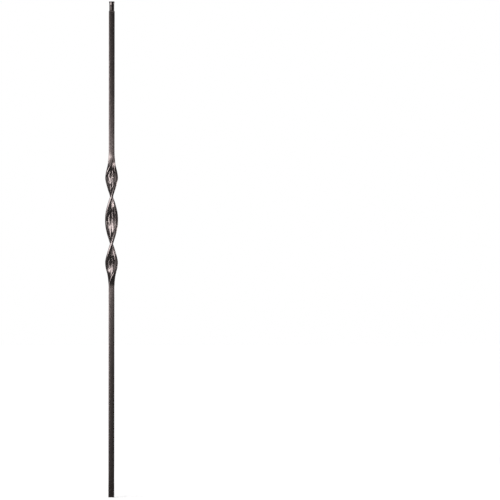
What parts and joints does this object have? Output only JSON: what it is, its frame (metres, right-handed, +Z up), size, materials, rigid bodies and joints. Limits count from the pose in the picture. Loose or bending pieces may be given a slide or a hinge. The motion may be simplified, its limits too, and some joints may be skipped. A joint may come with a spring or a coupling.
{
  "type": "stair baluster",
  "caption": "Slim square iron stair baluster with a flat twisted ribbon near its middle, carved with raised petals on both faces, and a round dowel pin on the top end.",
  "frame": {"origin": "centre of the square foot, on its end face", "axes": "+Z runs up the bar to the dowel pin, -Y is the front, where the middle of the ribbon faces the viewer"},
  "size_m": [0.0294, 0.0294, 1.1176],
  "materials": {
    "iron": "satin dark bronze-black coat"
  },
  "bodies": {
    "root": {"baluster": "iron"}
  },
  "joints": []
}
